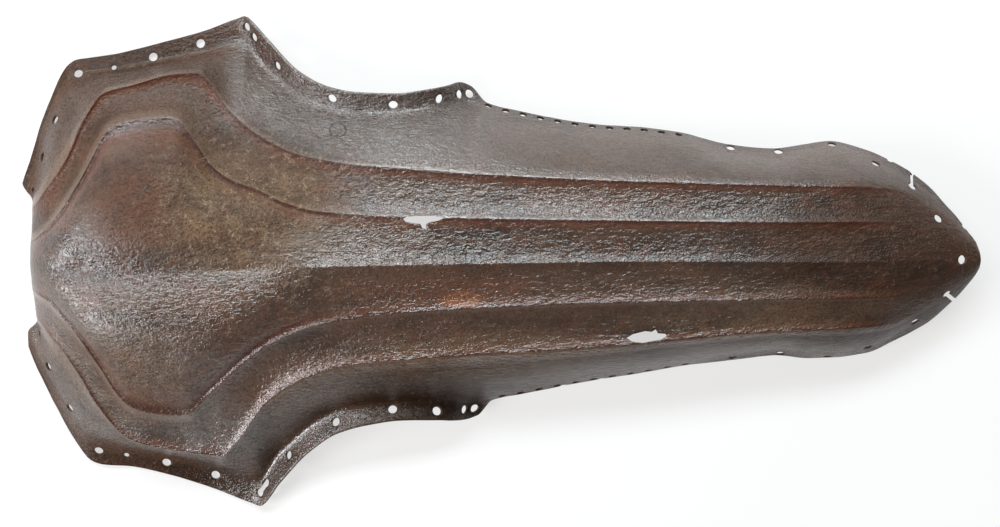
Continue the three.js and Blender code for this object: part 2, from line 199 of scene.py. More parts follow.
OUTER_RIDGE = columns("along left right up", [
    (0.000, 0.230, 0.205, 0.12),
    (0.014, 0.247, 0.220, 0.30),
    (0.040, 0.330, 0.297, 0.47),
    (0.062, 0.447, 0.410, 0.51),
    (0.081, 0.600, 0.545, 0.49),
    (0.098, 0.691, 0.645, 0.46),
    (0.107, 0.705, 0.683, 0.455),
    (0.129, 0.724, 0.724, 0.45),
    (0.172, 0.764, 0.760, 0.43),
    (0.197, 0.768, 0.775, 0.43),
    (0.209, 0.730, 0.779, 0.44),
    (0.224, 0.643, 0.727, 0.48),
    (0.2345, 0.597, 0.675, 0.52),
    (0.259, 0.520, 0.547, 0.61),
    (0.297, 0.447, 0.451, 0.72),
    (0.336, 0.413, 0.400, 0.78),
    (0.397, 0.383, 0.373, 0.82),
    (0.603, 0.322, 0.337, 0.78),
    (0.779, 0.287, 0.295, 0.70),
    (0.902, 0.260, 0.288, 0.59),
    (0.950, 0.173, 0.210, 0.52),
    (0.978, 0.085, 0.130, 0.48),
    (1.000, -0.008, 0.056, 0.47),
])
INNER_RIDGE = columns("along left right up", [
    (0.000, 0.093, 0.073, 0.11),
    (0.010, 0.103, 0.083, 0.37),
    (0.038, 0.160, 0.123, 0.60),
    (0.060, 0.250, 0.213, 0.67),
    (0.078, 0.353, 0.307, 0.70),
    (0.095, 0.469, 0.417, 0.68),
    (0.107, 0.547, 0.497, 0.66),
    (0.122, 0.577, 0.553, 0.65),
    (0.143, 0.591, 0.579, 0.64),
    (0.169, 0.596, 0.588, 0.63),
    (0.179, 0.584, 0.583, 0.64),
    (0.197, 0.492, 0.523, 0.68),
    (0.214, 0.400, 0.460, 0.73),
    (0.236, 0.343, 0.383, 0.78),
    (0.259, 0.312, 0.317, 0.82),
    (0.288, 0.257, 0.260, 0.86),
    (0.319, 0.224, 0.220, 0.885),
    (0.407, 0.197, 0.180, 0.89),
    (0.603, 0.167, 0.159, 0.845),
    (0.779, 0.144, 0.163, 0.76),
    (0.900, 0.131, 0.169, 0.66),
    (0.950, 0.080, 0.123, 0.57),
    (0.978, 0.040, 0.083, 0.50),
    (1.000, -0.020, 0.043, 0.48),
])
CREST = columns("along left up", [
    (0.000, 0.024, 0.11),
    (0.005, 0.023, 0.28),
    (0.010, 0.022, 0.42),
    (0.021, 0.018, 0.57),
    (0.036, 0.013, 0.69),
    (0.057, 0.010, 0.81),
    (0.081, 0.007, 0.89),
    (0.112, 0.005, 0.95),
    (0.153, 0.003, 0.985),
    (0.230, 0.004, 1.00),
    (0.305, 0.010, 0.995),
    (0.403, 0.009, 0.95),
    (0.603, 0.004, 0.865),
    (0.807, -0.016, 0.755),
    (0.910, -0.027, 0.675),
    (0.953, -0.031, 0.61),
    (1.000, -0.031, 0.49),
])

# Strength of each form along the plate, as shares of its depth above
FORM = columns("along round valley groove flute band bulge arch", [
    (0.000, 1.0, 0.0, 0.0, 0.0, 0.1, 0.0, 0.0),
    (0.040, 1.5, 0.2, 0.4, 0.0, 1.2, 0.0, 0.0),
    (0.085, 2.6, 1.0, 1.0, 0.0, 1.8, -0.1, 0.0),
    (0.235, 2.8, 1.0, 1.0, 0.0, 1.8, 0.0, 0.0),
    (0.300, 1.3, 0.2, 0.6, 0.5, 1.4, 0.3, 0.0),
    (0.345, 1.0, 0.0, 0.0, 1.0, 1.0, 0.5, 0.0),
    (0.500, 1.0, 0.0, 0.0, 1.0, 1.0, 1.0, 0.0),
    (0.850, 1.0, 0.0, 0.0, 0.8, 0.7, 0.9, 0.0),
    (0.920, 1.0, 0.0, 0.0, 0.4, 0.3, 0.6, 0.7),
    (0.960, 1.0, 0.0, 0.0, 0.0, 0.0, 0.3, 1.0),
    (1.000, 1.0, 0.0, 0.0, 0.0, 0.0, 0.0, 1.0),
])

# Round holes for laces and straps, a row for a hole and its fellow on the other cheek
LACED = columns("leftAlong leftOut rightAlong rightOut", [
    (0.008, 0.305, 0.0095, 0.280),
    (0.026, 0.440, 0.025, 0.414),
    (0.042, 0.590, 0.045, 0.589),
    (0.065, 0.774, 0.071, 0.779),
    (0.102, 0.795, 0.100, 0.801),
    (0.143, 0.835, 0.142, 0.837),
    (0.193, 0.886, 0.194, 0.893),
    (0.2425, 0.948, 0.242, 0.966),
    (0.250, 0.905, 0.249, 0.926),
    (0.275, 0.789, 0.275, 0.800),
    (0.333, 0.654, 0.328, 0.650),
    (0.396, 0.624, 0.388, 0.600),
    (0.444, 0.645, 0.434, 0.614),
    (0.4645, 0.662, 0.4625, 0.626),
    (0.4745, 0.664, 0.4730, 0.628),
    (0.747, 0.427, 0.747, 0.430),
    (0.797, 0.408, 0.798, 0.420),
    (0.855, 0.430, 0.850, 0.440),
    (0.897, 0.352, 0.890, 0.395),
    (0.933, 0.260, 0.936, 0.288),
    (0.956, 0.136, 0.966, 0.172),
])
TIP_HOLE = (0.979, -0.029)
SMALL_ROWS = (0, 4)

# The close row of lining holes on each cheek: its side, start, end and count
STITCHED = ((1, 0.494, 0.693, 12), (-1, 0.503, 0.698, 11))

# Holes torn open to the rim: side, row of LACED, and where the tear reaches the rim
TORN = ((1, 19, 0.9375), (-1, 20, 0.9773))
# Holes torn into one, and notches broken out of the rim
JOINED = ((-1, 7, 8),)
NICKS = ((1, 0.916), (1, 0.9865), (-1, 0.568), (-1, 0.609))

# Holes eaten through by rust: side, place, and the ragged outline as shares of its size
LOSSES = (
    (1, 0.427, 0.172, (
        (-0.50, 0.30), (-0.40, 0.46), (-0.10, 0.50), (0.28, 0.47), (0.50, 0.32), (0.36, 0.12),
        (0.14, 0.02), (0.05, -0.14), (0.07, -0.50), (-0.04, -0.42), (-0.08, -0.10), (-0.30, -0.02),
        (-0.44, 0.08),
    )),
    (-1, 0.651, 0.298, (
        (-0.50, -0.10), (-0.34, 0.17), (-0.04, 0.38), (0.13, 0.32), (0.22, 0.50), (0.28, 0.20),
        (0.46, 0.15), (0.50, -0.02), (0.37, -0.28), (0.10, -0.40), (-0.10, -0.50), (-0.36, -0.38),
    )),
)


def at(table, name, place):
    """Value of a column at each place: cubic pieces through the rows, whose slope at a row is the
    harmonic mean of the rises beside it, or nought at a turn, so they never overshoot."""
    x, y = table["along"], table[name]
    rise = np.diff(y) / np.diff(x)
    before, after = rise[:-1], rise[1:]
    total = before + after
    same = before * after > 0
    inner = np.where(same, 2 * before * after / np.where(same, total, 1.0), 0.0)
    slope = np.concatenate([rise[:1], inner, rise[-1:]])
    place = np.asarray(place, float)
    row = np.clip(np.searchsorted(x, place, side="left") - 1, 0, len(x) - 2)
    width = x[row + 1] - x[row]
    t = (place - x[row]) / width
    late = t * t * (3 - 2 * t)
    bend = t * (1 - t) * width * (slope[row] * (1 - t) - slope[row + 1] * t)
    return y[row] * (1 - late) + y[row + 1] * late + bend


def ease(t):
    """A step from nought to one, flat at both its ends."""
    held = np.clip(t, 0, 1)
    return held * held * (3 - 2 * held)


def dish(t):
    """A flat-bottomed dish: one in its middle, falling to nought at both ends by a cube law."""
    return 1 - np.abs(2 * t - 1) ** 3


def rails_at(place, side):
    """Distance out and height of the five rails of one cheek at each place, last axis the rail."""
    cheek = "left" if side > 0 else "right"
    rim_out = at(RIM, cheek, place) * HALF_WIDTH
    out = [
        side * at(CREST, "left", place) * HALF_WIDTH,
        at(INNER_RIDGE, cheek, place) * HALF_WIDTH,
        at(OUTER_RIDGE, cheek, place) * HALF_WIDTH,
        rim_out - at(ROOT, "width", place) * FLANGE_WIDTH,
        rim_out,
    ]
    tables = (CREST, INNER_RIDGE, OUTER_RIDGE, ROOT, RIM)
    up = [at(table, "up", place) * CROWN_HEIGHT for table in tables]
    return np.stack(out, -1), np.stack(up, -1)


def face_points(place, span, t, side):
    """Points of the outer face. Place, span and t are arrays of one shape: the share t of the way
    across that span. Each span is straight between its rails, plus its own hollow or bulge; towards
    the nose all of it melts into an arch whose fall grows with a power of the way out."""
    rail_out, rail_up = rails_at(place, side)
    pick = lambda rails, k: np.take_along_axis(rails, k[..., None], -1)[..., 0]
    inner_up, outer_up = pick(rail_up, span), pick(rail_up, span + 1)
    inner_out, outer_out = pick(rail_out, span), pick(rail_out, span + 1)
    form = {name: at(FORM, name, place) for name in FORM if name != "along"}
    out = inner_out + (outer_out - inner_out) * t
    level = inner_up + (outer_up - inner_up) * t
    domed = inner_up + (outer_up - inner_up) * t ** form["round"]
    valley = VALLEY_DEPTH * form["valley"] * (1 - np.clip(t / VALLEY_REACH, 0, 1)) ** 2
    groove = GROOVE_DEPTH * form["groove"] * dish(np.clip((t - 1) / GROOVE_REACH + 1, 0, 1))
    brow = domed - valley - groove - FLUTE_DEPTH * form["flute"] * dish(t)
    band = level - BAND_DEPTH * form["band"] * dish(t)
    flank = level + FLANK_BULGE * form["bulge"] * 4 * t * (1 - t)
    up = np.select([span == 0, span == 1, span == 2], [brow, band, flank], level)
    crest_out, crest_up, rim_up = rail_out[..., 0], rail_up[..., 0], rail_up[..., 4]
    share = np.clip((out - crest_out) / (rail_out[..., 4] - crest_out), 0, 1)
    arched = crest_up - (crest_up - rim_up) * share ** ARCH_POWER
    setback = POLL_SETBACK * np.clip(1 - place * LENGTH / POLL_ROLL, 0, 1) ** SETBACK_POWER
    tab = ease((share - TAB_START[side]) / (TAB_END[side] - TAB_START[side]))
    x = place * LENGTH + setback * (1 - tab)
    return np.stack([x, side * out, up + (arched - up) * form["arch"]], -1)


def cross_lines():
    """Span and share of each line from the crest to the rim, closer together towards each rail."""
    spans, shares = [], []
    for span, count in enumerate(SPAN_LINES):
        even = np.arange(count) / count
        eased = even - GATHERING * np.sin(2 * np.pi * even) / (2 * np.pi)
        spans.append(np.full(count, span))
        shares.append(eased)
    spans.append([3])
    shares.append([1.0])
    return np.concatenate(spans).astype(int), np.concatenate(shares)


def lattice_noise(x, y, cell, seed):
    """Smooth noise between -1 and 1: random heights on a lattice of that cell, eased between the
    four corners round each point by the cube law 3t^2 - 2t^3 in both directions."""
    heights = np.random.default_rng(seed).uniform(-1, 1, (LATTICE, LATTICE))
    u, v = x / cell[0] + LATTICE_START, y / cell[1] + LATTICE_START
    i, j = np.floor(u).astype(int), np.floor(v).astype(int)
    a, b = u - i, v - j
    a, b = a * a * (3 - 2 * a), b * b * (3 - 2 * b)
    h = lambda di, dj: heights[(i + di) % LATTICE, (j + dj) % LATTICE]
    return (h(0, 0) * (1 - a) + h(1, 0) * a) * (1 - b) + (h(0, 1) * (1 - a) + h(1, 1) * a) * b


def normals_of(grid):
    """Unit normal at each point of a grid: the cross product of its differences along and across."""
    along = np.gradient(grid, axis=0)
    across = np.gradient(grid, axis=1)
    normal = np.cross(along, across)
    return normal / np.linalg.norm(normal, axis=-1, keepdims=True)


def hammered_face():
    """Grid of the outer face from the right rim to the left, its rail coordinates, and its stations.
    Each rounding pass moves a point to a quarter of each neighbour across and a half of itself; the
    further passes do so near the root of the flange and, more and more, towards the nose."""
    place = np.linspace(0, 1, STATIONS)
    spans, shares = cross_lines()
    full = lambda values: np.broadcast_to(values, (STATIONS, len(shares)))
    places = np.broadcast_to(place[:, None], (STATIONS, len(shares)))
    left = face_points(places, full(spans), full(shares), 1)
    right = face_points(places, full(spans), full(shares), -1)
    grid = np.concatenate([right[:, :0:-1], left], 1)
    for _ in range(ROUNDING_PASSES):
        grid[:, 1:-1] = (grid[:, :-2] + 2 * grid[:, 1:-1] + grid[:, 2:]) / 4
    rail = spans + shares
    rail = np.concatenate([-rail[:0:-1], rail])
    root = np.clip(1 - np.abs(np.abs(rail[1:-1]) - ROOT_RAIL) / ROOT_REACH, 0, 1)[None, :, None]
    root = np.maximum(root, np.clip((place - NOSE_START) / (1 - NOSE_START), 0, 1)[:, None, None])
    for _ in range(ROOT_PASSES):
        grid[:, 1:-1] += root * ((grid[:, :-2] + 2 * grid[:, 1:-1] + grid[:, 2:]) / 4 - grid[:, 1:-1])
    normal = normals_of(grid)
    x, y = grid[..., 0], grid[..., 1]
    uneven = sum(height * lattice_noise(x, y, cell, seed) for height, cell, seed in UNEVENNESS)
    grid = grid + normal * uneven[..., None]
    return grid, rail, place


def plate_mesh():
    """The closed plate: outer face, inner face one thickness below it along the normals, and a
    rounded edge, a line half-way down that bulges out, all round."""
    outer, rail, place = hammered_face()
    low, high = (np.array(corner) for corner in PLATE_BOX)
    normal = normals_of(outer)
    inner = outer - THICKNESS * normal
    middle = (outer + inner) / 2
    rows, lines = outer.shape[:2]

    def ring(grid):
        return np.concatenate([grid[0, :-1], grid[:-1, -1], grid[-1, :0:-1], grid[:0:-1, 0]])

    rim_outer, rim_inner, rim_middle = ring(outer), ring(inner), ring(middle)
    ahead = np.roll(rim_outer, -1, 0) - np.roll(rim_outer, 1, 0)
    outward = np.cross(ahead, rim_outer - rim_inner)
    outward /= np.maximum(np.linalg.norm(outward, axis=-1, keepdims=True), 1e-9)
    inward = ring(np.broadcast_to(outer.mean((0, 1)), outer.shape)) - rim_outer
    flip = np.sign((outward[:, :2] * inward[:, :2]).sum(-1).mean())
    rim_middle = rim_middle - flip * EDGE_BULGE * outward
    verts = np.concatenate([outer.reshape(-1, 3), inner.reshape(-1, 3), rim_middle])
    shift = np.array([(low[0] + high[0]) / 2, (low[1] + high[1]) / 2, low[2]])
    box_low, box_high = verts.min(0), verts.max(0)
    shift -= np.array([(box_low[0] + box_high[0]) / 2, (box_low[1] + box_high[1]) / 2, box_low[2]])
    verts += shift

    number = np.arange(rows * lines).reshape(rows, lines)
    quads = lambda a, b, c, d: np.stack([a, b, c, d], -1).reshape(-1, 4)
    top = quads(number[:-1, :-1], number[1:, :-1], number[1:, 1:], number[:-1, 1:])
    under = top[:, ::-1] + rows * lines
    ring_top = ring(number[..., None])[:, 0]
    ring_mid = 2 * rows * lines + np.arange(len(ring_top))
    following = lambda a: np.roll(a, -1)
    edge_a = quads(ring_top, following(ring_top), following(ring_mid), ring_mid)
    ring_low = ring_top + rows * lines
    edge_b = quads(ring_mid, following(ring_mid), following(ring_low), ring_low)
    faces = np.concatenate([top, under, edge_a, edge_b])
    across = np.broadcast_to(rail / MAP_RAILS + 0.5, (rows, lines)).ravel()
    along = np.broadcast_to(place[:, None], (rows, lines)).ravel()
    flat = np.stack([across, along], -1)
    coords = np.concatenate([flat, flat, flat[ring_top]])
    return verts, faces, coords, shift


def make_object(name, verts, faces, coords=None):
    """A mesh object from arrays of points and quads, with the coordinates as a UV map."""
    mesh = bpy.data.meshes.new(name)
    mesh.vertices.add(len(verts))
    mesh.vertices.foreach_set("co", np.asarray(verts, np.float32).ravel())
    mesh.loops.add(faces.size)
    mesh.loops.foreach_set("vertex_index", faces.astype(np.int32).ravel())
    mesh.polygons.add(len(faces))
    mesh.polygons.foreach_set("loop_start", np.arange(0, faces.size, 4, dtype=np.int32))
    mesh.update(calc_edges=True)
    mesh.validate()
    if coords is not None:
        layer = mesh.uv_layers.new(name="rails")
        layer.data.foreach_set("uv", coords[faces.ravel()].astype(np.float32).ravel())
    mesh.shade_smooth()
    obj = bpy.data.objects.new(name, mesh)
    bpy.context.scene.collection.objects.link(obj)
    return obj


def prism(outline, low, high):
    """Verts and faces of an upright prism over an outline of plan points, taken leftwards round."""
    following = np.roll(outline, -1, 0)
    turn = outline[:, 0] * following[:, 1] - outline[:, 1] * following[:, 0]
    outline = outline if turn.sum() > 0 else outline[::-1]
    count = len(outline)
    ring = np.arange(count)
    verts = np.concatenate([
        np.column_stack([outline, np.full(count, low)]),
        np.column_stack([outline, np.full(count, high)]),
    ])
    sides = [(k, (k + 1) % count, (k + 1) % count + count, k + count) for k in range(count)]
    return verts, sides + [tuple(ring[::-1]), tuple(ring + count)]


def circle(radius):
    turn = np.arange(HOLE_SIDES) * 2 * np.pi / HOLE_SIDES
    return radius * np.column_stack([np.cos(turn), np.sin(turn)])


def face_over(along, out, side):
    """Point and normal of the outer face over a spot of the plan, found by stepping the station back
    by what the poll's setback adds."""
    def point(place, distance):
        rail_out = rails_at(place, side)[0]
        span = int(np.clip(np.searchsorted(rail_out[1:4], distance), 0, 3))
        t = (distance - rail_out[span]) / (rail_out[span + 1] - rail_out[span])
        return face_points(np.array(place), np.array(span), np.array(t), side)

    place = along
    for _ in range(8):
        place = float(np.clip(place + along - point(place, out)[0] / LENGTH, 0, 1))
    forward = point(place + PROBE / LENGTH, out) - point(place - PROBE / LENGTH, out)
    sideways = point(place, out + PROBE) - point(place, out - PROBE)
    normal = np.cross(forward, sideways) * side
    return point(place, out), normal / np.linalg.norm(normal)


def punch(radius, seat, shift):
    """A round cutter square to the face at that seat."""
    point, normal = seat
    verts, faces = prism(circle(radius), -CUT_REACH / 2, CUT_REACH / 2)
    turn = np.array(Vector((0, 0, 1)).rotation_difference(Vector(normal)).to_matrix())
    return verts @ turn.T + point + shift, faces


def slit(start, end, shift):
    """A straight upright slit between two points."""
    way = (end - start)[:2]
    length = np.hypot(*way)
    forward = way / length
    sideways = np.array([-forward[1], forward[0]]) * TEAR_WIDTH / 2
    corners = np.array([
        start[:2] - sideways, end[:2] - sideways, end[:2] + sideways, start[:2] + sideways,
    ])
    middle = (start[2] + end[2]) / 2
    verts, faces = prism(corners, middle - CUT_REACH, middle + CUT_REACH)
    return verts + shift, faces


def cutters(shift):
    """Cutters as (verts, faces) in two lots, none of which meet within their lot: round holes, and
    the tears, nicks and ragged losses."""
    cheek = {1: "left", -1: "right"}
    rim_out = lambda along, side: float(at(RIM, cheek[side], along)) * HALF_WIDTH

    def laced(row, side):
        along = LACED[cheek[side] + "Along"][row]
        out = LACED[cheek[side] + "Out"][row] * HALF_WIDTH
        point, normal = face_over(along, out, side)
        if LACED["leftAlong"][row] > UPRIGHT_FROM:
            normal = normal + (0, 0, 1)
            normal /= np.linalg.norm(normal)
        return point, normal

    round_holes, ragged = [], []
    for side in (1, -1):
        for row in range(len(LACED["leftAlong"])):
            width = SMALL_HOLE if row in SMALL_ROWS else LACE_HOLE
            round_holes.append(punch(width / 2, laced(row, side), shift))
    tip = face_over(TIP_HOLE[0], TIP_HOLE[1] * HALF_WIDTH, 1)
    round_holes.append(punch(LACE_HOLE / 2, tip, shift))
    for side, start, end, count in STITCHED:
        for along in np.linspace(start, end, count):
            seat = face_over(along, rim_out(along, side) - STITCH_MARGIN, side)
            round_holes.append(punch(STITCH_HOLE / 2, seat, shift))
    for side, row, along in TORN:
        point = laced(row, side)[0]
        mouth = np.array([along * LENGTH, side * rim_out(along, side), point[2]])
        way = mouth - point
        ragged.append(slit(point, mouth + way / np.linalg.norm(way) * TEAR_WIDTH, shift))
    for side, first, second in JOINED:
        ragged.append(slit(laced(first, side)[0], laced(second, side)[0], shift))
    for side, along in NICKS:
        ragged.append(punch(NICK_WIDTH / 2, face_over(along, rim_out(along, side), side), shift))
    for side, along, out, outline in LOSSES:
        point = face_over(along, out * HALF_WIDTH, side)[0]
        plan = np.array(outline) * (LOSS_LENGTH, LOSS_WIDTH) + point[:2]
        verts, faces = prism(plan, point[2] - CUT_REACH / 2, point[2] + CUT_REACH / 2)
        ragged.append((verts + shift, faces))
    return round_holes, ragged


def joined(parts):
    """One mesh of all parts, their faces renumbered."""
    starts = np.cumsum([0] + [len(verts) for verts, _ in parts])
    verts = np.concatenate([verts for verts, _ in parts])
    faces = [tuple(int(k) + int(start) for k in face)
             for start, (_, some) in zip(starts, parts) for face in some]
    mesh = bpy.data.meshes.new("cutter")
    mesh.from_pydata([tuple(v) for v in verts], [], faces)
    mesh.update()
    return mesh


def cut_plate(plate, shift):
    """The plate less each lot of cutters, with the cuts made into its mesh."""
    lots = []
    for parts in cutters(shift):
        cutter = bpy.data.objects.new("cutter", joined(parts))
        bpy.context.scene.collection.objects.link(cutter)
        cut = plate.modifiers.new("cut", "BOOLEAN")
        cut.operation = "DIFFERENCE"
        cut.solver = "MANIFOLD"
        cut.object = cutter
        lots.append(cutter)
    shown = plate.evaluated_get(bpy.context.evaluated_depsgraph_get())
    mesh = bpy.data.meshes.new_from_object(shown)
    plate.modifiers.clear()
    plate.data = mesh
    for cutter in lots:
        bpy.data.objects.remove(cutter)


def make_plate():
    verts, faces, coords, shift = plate_mesh()
    plate = make_object("plate_iron", verts, faces, coords)
    cut_plate(plate, shift)
    return plate


class Paint:
    """A short hand for a material's nodes."""

    def __init__(self, name):
        self.material = bpy.data.materials.new(name)
        self.material.use_nodes = True
        self.nodes = self.material.node_tree.nodes
        self.links = self.material.node_tree.links
        self.shader = self.nodes["Principled BSDF"]

    def join(self, source, target):
        self.links.new(source, target)

    def node(self, kind, **settings):
        made = self.nodes.new(kind)
        for key, value in settings.items():
            setattr(made, key, value)
        return made

    def noise(self, vector, scale, detail=4.0, rough=0.55, warp=0.0):
        made = self.node("ShaderNodeTexNoise")
        made.inputs["Scale"].default_value = scale
        made.inputs["Detail"].default_value = detail
        made.inputs["Roughness"].default_value = rough
        made.inputs["Distortion"].default_value = warp
        self.join(vector, made.inputs["Vector"])
        return made.outputs["Fac"]

    def stretch(self, vector, scale=(1, 1, 1), place=(0, 0, 0)):
        made = self.node("ShaderNodeMapping")
        made.inputs["Scale"].default_value = scale
        made.inputs["Location"].default_value = place
        self.join(vector, made.inputs["Vector"])
        return made.outputs["Vector"]

    def ramp(self, value, low, high, start=0.0, end=1.0):
        """The value's stretch from low to high, brought to start and end and held there."""
        made = self.node("ShaderNodeMapRange", clamp=True, interpolation_type="SMOOTHSTEP")
        for key, number in zip(("From Min", "From Max", "To Min", "To Max"), (low, high, start, end)):
            made.inputs[key].default_value = number
        self.join(value, made.inputs["Value"])
        return made.outputs["Result"]

    def math(self, operation, first, second):
        made = self.node("ShaderNodeMath", operation=operation)
        for slot, value in zip(made.inputs, (first, second)):
            if isinstance(value, (int, float)):
                slot.default_value = value
            else:
                self.join(value, slot)
        return made.outputs["Value"]

    def times(self, first, second):
        return self.math("MULTIPLY", first, second)

    def most(self, first, second):
        return self.math("MAXIMUM", first, second)

    def off(self, value, middle):
        """How far the value is from its middle, either way."""
        return self.math("ABSOLUTE", self.math("SUBTRACT", value, middle), 0.0)

    def mix(self, share, first, second):
        made = self.node("ShaderNodeMix", data_type="RGBA")
        for name, value in (("Factor_Float", share), ("A_Color", first), ("B_Color", second)):
            slot = next(item for item in made.inputs if item.identifier == name)
            if isinstance(value, bpy.types.NodeSocket):
                self.join(value, slot)
            else:
                slot.default_value = value if isinstance(value, (int, float)) else (*value, 1.0)
        return next(item for item in made.outputs if item.identifier == "Result_Color")

    def wobble(self, vector, scale, reach):
        """The coordinates shifted about by noise of that scale."""
        colour = self.node("ShaderNodeTexNoise")
        colour.inputs["Scale"].default_value = scale
        self.join(vector, colour.inputs["Vector"])
        made = self.node("ShaderNodeVectorMath", operation="MULTIPLY_ADD")
        made.inputs[1].default_value = (reach, reach, reach)
        self.join(colour.outputs["Color"], made.inputs[0])
        self.join(vector, made.inputs[2])
        return made.outputs["Vector"]

    def ring(self, vector, middle, radius):
        """A thin ring round a place of the plate, seen from above."""
        moved = self.stretch(vector, (1, 1, 0), (-middle[0], -middle[1], 0))
        made = self.node("ShaderNodeVectorMath", operation="LENGTH")
        self.join(moved, made.inputs[0])
        return self.ramp(self.off(made.outputs["Value"], radius), *RING_LINE, 1.0, 0.0)

    def spot(self, vector, middle, size):
        """One at a place of the plate and nought past an ellipse round it, seen from above."""
        scale = (1 / size[0], 1 / size[1], 0)
        moved = self.stretch(vector, scale, (-middle[0] / size[0], -middle[1] / size[1], 0))
        made = self.node("ShaderNodeVectorMath", operation="LENGTH")
        self.join(moved, made.inputs[0])
        return self.ramp(made.outputs["Value"], SPOT_CORE, 1.0, 1.0, 0.0)

    def spots(self, vector, places):
        """The greatest of several spots, each times its strength."""
        total = 0.0
        for middle, size, strength in places:
            total = self.most(self.times(self.spot(vector, middle, size), strength), total)
        return total


# Dark skin, also the colour of the painted shade on the flange and the right flank
DARK_SKIN_AND_SHADE = (0.034, 0.0175, 0.011)
BROWN_SKIN = (0.108, 0.054, 0.032)
RED_RUST = (0.145, 0.048, 0.025)
# Painted shade for the dark line in the groove just inside each ridge
CREASE_SHADE = (0.060, 0.018, 0.010)
ORANGE_RUST = (0.360, 0.120, 0.040)
OCHRE = (0.240, 0.146, 0.078)
# Tan of the skin, also used as painted light on the outward slopes just outside the ridges
TAN_SKIN_AND_LIGHT = (0.185, 0.116, 0.077)
# Greyer skin for the flanks, partly a painted reflection of the pale table
GREY_AND_REFLECTION = (0.115, 0.078, 0.062)
PALE_FLECK = (0.500, 0.400, 0.280)
# Painted sheen: pale grey patches where the skin seems to catch the light
PAINTED_SHEEN = (0.200, 0.178, 0.166)

# Stains, a darker nose, and patches of painted sheen, as seen from above: colour, place, size and strength
STAINS_AND_SHEEN = (
    (TAN_SKIN_AND_LIGHT, (-0.190, 0.055), (0.085, 0.055), 0.30),
    (OCHRE, (-0.145, 0.034), (0.075, 0.050), 0.62),
    (OCHRE, (-0.010, -0.055), (0.110, 0.020), 0.35),
    (RED_RUST, (-0.214, 0.040), (0.036, 0.034), 0.60),
    (RED_RUST, (-0.030, -0.012), (0.080, 0.012), 0.70),
    (DARK_SKIN_AND_SHADE, (0.215, 0.004), (0.120, 0.060), 0.62),
    (ORANGE_RUST, (-0.022, -0.018), (0.018, 0.007), 0.85),
    (PAINTED_SHEEN, (-0.085, 0.088), (0.100, 0.030), 0.60),
    (PAINTED_SHEEN, (-0.235, -0.090), (0.050, 0.022), 0.40),
    (OCHRE, (0.160, -0.030), (0.110, 0.022), 0.30),
    (OCHRE, (-0.230, -0.055), (0.060, 0.045), 0.35),
    (PAINTED_SHEEN, (-0.172, -0.098), (0.040, 0.032), 0.75),
    (PAINTED_SHEEN, (-0.186, -0.058), (0.042, 0.032), 0.35),
    (PAINTED_SHEEN, (-0.256, -0.072), (0.026, 0.055), 0.40),
)
# Places as middle, size and strength: matt ones, those with pale curls, and the coarsest one
DULL = (
    ((-0.165, 0.050), (0.120, 0.062), 1.0),
    ((-0.235, -0.066), (0.085, 0.050), 0.75),
    ((0.235, 0.000), (0.120, 0.080), 0.80),
)
BLOOM = (
    ((-0.125, 0.035), (0.115, 0.080), 1.0),
    ((-0.210, -0.065), (0.090, 0.050), 0.6),
)
COARSE = (((-0.085, 0.088), (0.110, 0.036), 1.0),)
SPOT_CORE = 0.35

# Cracked rings in the skin: place and radius, and where their line is full and where it ends
RINGS = (
    (-0.0910, 0.0845, 0.0044),
    (-0.0315, 0.0090, 0.0038),
    (-0.0500, 0.0070, 0.0030),
    (-0.0190, 0.0095, 0.0034),
)
RING_LINE = (0.0002, 0.0007)

# Noises: scale, detail, roughness and warp. The drawn ones are stretched along the plate.
DRAWN = (0.42, 1.0, 1.0)
CLOUD = (26, 5, 0.62, 0.5)
BLOTCH = (52, 6, 0.66, 0.8)
RAGGED = (85, 8, 0.75, 0.6)
GLOSS = (150, 5, 0.6)
FLECK = (250, 4, 0.7, 0.5)
CURLS = (430, 2, 0.5, 1.3)
WRINKLES = (430, 3, 0.55, 0.5)
SPECK = (700, 2, 0.6)
PITS = (900, 2, 0.6)
LUMPS = 640

# Depth of each part of the relief, as shares of the bump's distance
PIT_DEPTH = 0.7
LUMP_DEPTH = 0.30
WRINKLE_DEPTH = 2.2
CRACK_DEPTH = 0.4
COARSENESS = 1.7
BUMP_DISTANCE = 0.00042


